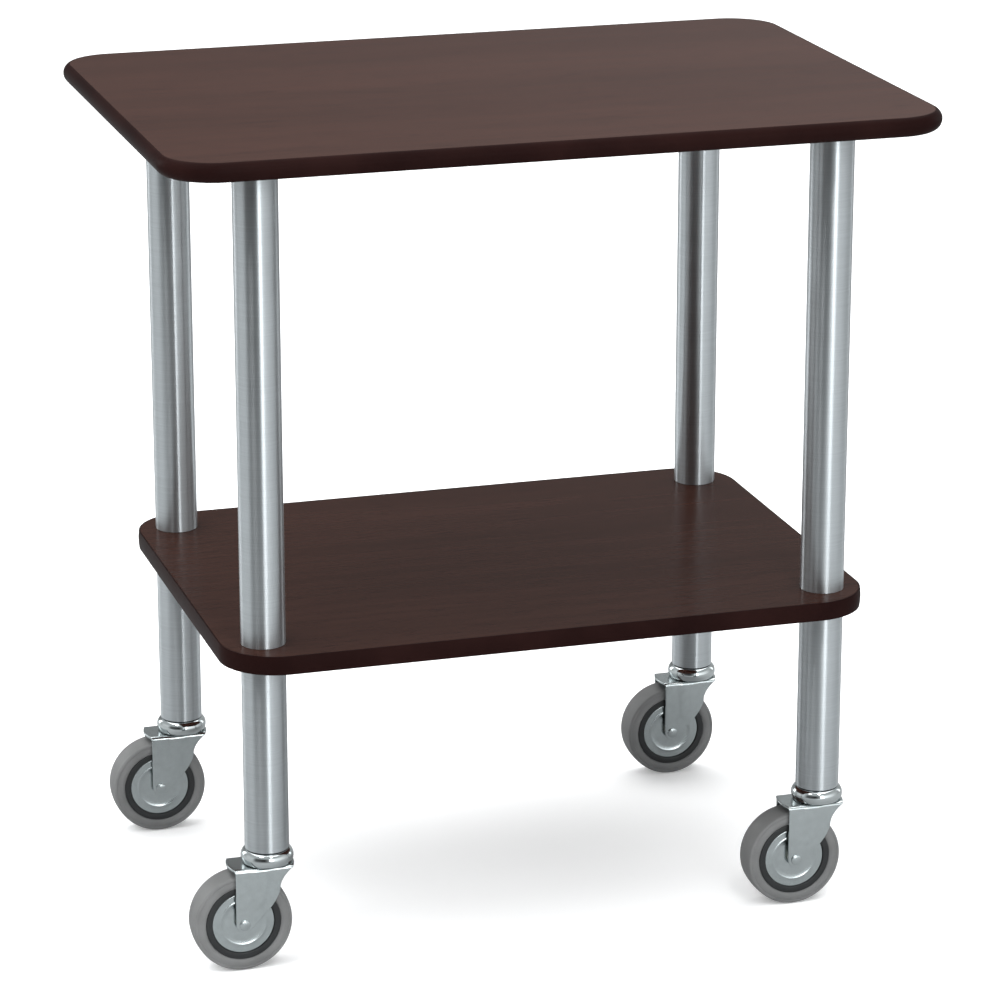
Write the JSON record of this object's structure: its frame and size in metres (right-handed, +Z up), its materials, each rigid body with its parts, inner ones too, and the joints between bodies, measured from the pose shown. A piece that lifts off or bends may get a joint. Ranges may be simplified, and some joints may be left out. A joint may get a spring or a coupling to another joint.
{
  "type": "rolling table",
  "caption": "Rectangular table with a round-cornered top and lower shelf on chromed tube legs, rolling on swivel casters with rubber-tyred wheels.",
  "frame": {"origin": "on the floor under the middle of the table, at the bottom of the wheels", "axes": "+Z up, +X along the long side towards the right, +Y from the front to the back"},
  "size_m": [0.789, 0.554, 0.8415],
  "materials": {
    "laminate": "dark brown wood-grain laminate, satin",
    "edging": "very dark red-brown plastic, satin",
    "tube_chrome": "satin chrome plate",
    "cap_chrome": "bright chrome plate",
    "zinc_steel": "zinc-plated pressed sheet",
    "turned_steel": "bright turned steel",
    "insert_brass": "turned brass",
    "socket_plastic": "black moulded nylon",
    "bushing_plastic": "natural white acetal",
    "wheel_plastic": "dark grey moulded plastic",
    "tyre_rubber": "mid-grey rubber"
  },
  "bodies": {
    "table": {"top_board": "laminate", "shelf_board": "laminate", "top_edging": "edging", "shelf_edging": "edging", "insert_nuts": "insert_brass", "top_tube_plugs": "turned_steel", "shelf_tube_plugs": "turned_steel", "top_studs": "turned_steel", "shelf_studs": "turned_steel", "stem_sockets": "socket_plastic", "stem_grip_rings": "turned_steel", "upper_tube_front_left": "tube_chrome", "lower_tube_front_left": "tube_chrome", "caster_stem_front_left": "turned_steel", "raceway_cap_front_left": "cap_chrome", "retaining_washer_front_left": "zinc_steel", "upper_tube_front_right": "tube_chrome", "lower_tube_front_right": "tube_chrome", "caster_stem_front_right": "turned_steel", "raceway_cap_front_right": "cap_chrome", "retaining_washer_front_right": "zinc_steel", "upper_tube_rear_left": "tube_chrome", "lower_tube_rear_left": "tube_chrome", "caster_stem_rear_left": "turned_steel", "raceway_cap_rear_left": "cap_chrome", "retaining_washer_rear_left": "zinc_steel", "upper_tube_rear_right": "tube_chrome", "lower_tube_rear_right": "tube_chrome", "caster_stem_rear_right": "turned_steel", "raceway_cap_rear_right": "cap_chrome", "retaining_washer_rear_right": "zinc_steel"},
    "swivel_front_left": {"fork_front_left": "zinc_steel", "bearing_balls_front_left": "turned_steel", "axle_front_left": "turned_steel"},
    "wheel_front_left": {"wheel_core_front_left": "wheel_plastic", "tyre_front_left": "tyre_rubber", "bushing_front_left": "bushing_plastic", "wheel_discs_front_left": "zinc_steel"},
    "swivel_front_right": {"fork_front_right": "zinc_steel", "bearing_balls_front_right": "turned_steel", "axle_front_right": "turned_steel"},
    "wheel_front_right": {"wheel_core_front_right": "wheel_plastic", "tyre_front_right": "tyre_rubber", "bushing_front_right": "bushing_plastic", "wheel_discs_front_right": "zinc_steel"},
    "swivel_rear_left": {"fork_rear_left": "zinc_steel", "bearing_balls_rear_left": "turned_steel", "axle_rear_left": "turned_steel"},
    "wheel_rear_left": {"wheel_core_rear_left": "wheel_plastic", "tyre_rear_left": "tyre_rubber", "bushing_rear_left": "bushing_plastic", "wheel_discs_rear_left": "zinc_steel"},
    "swivel_rear_right": {"fork_rear_right": "zinc_steel", "bearing_balls_rear_right": "turned_steel", "axle_rear_right": "turned_steel"},
    "wheel_rear_right": {"wheel_core_rear_right": "wheel_plastic", "tyre_rear_right": "tyre_rubber", "bushing_rear_right": "bushing_plastic", "wheel_discs_rear_right": "zinc_steel"}
  },
  "joints": [
    {"name": "swivel_front_left_turn", "type": "hinge", "parent": "table", "child": "swivel_front_left", "pos_m": [-0.2935, -0.195, 0.1098], "axis": [0, 0, 1], "continuous": true},
    {"name": "wheel_front_left_spin", "type": "hinge", "parent": "swivel_front_left", "child": "wheel_front_left", "pos_m": [-0.322, -0.195, 0.0508], "axis": [0, 1, 0], "continuous": true},
    {"name": "swivel_front_right_turn", "type": "hinge", "parent": "table", "child": "swivel_front_right", "pos_m": [0.2935, -0.195, 0.1098], "axis": [0, 0, 1], "continuous": true},
    {"name": "wheel_front_right_spin", "type": "hinge", "parent": "swivel_front_right", "child": "wheel_front_right", "pos_m": [0.265, -0.195, 0.0508], "axis": [0, 1, 0], "continuous": true},
    {"name": "swivel_rear_left_turn", "type": "hinge", "parent": "table", "child": "swivel_rear_left", "pos_m": [-0.2935, 0.195, 0.1098], "axis": [0, 0, 1], "continuous": true},
    {"name": "wheel_rear_left_spin", "type": "hinge", "parent": "swivel_rear_left", "child": "wheel_rear_left", "pos_m": [-0.322, 0.195, 0.0508], "axis": [0, 1, 0], "continuous": true},
    {"name": "swivel_rear_right_turn", "type": "hinge", "parent": "table", "child": "swivel_rear_right", "pos_m": [0.2935, 0.195, 0.1098], "axis": [0, 0, 1], "continuous": true},
    {"name": "wheel_rear_right_spin", "type": "hinge", "parent": "swivel_rear_right", "child": "wheel_rear_right", "pos_m": [0.265, 0.195, 0.0508], "axis": [0, 1, 0], "continuous": true}
  ]
}
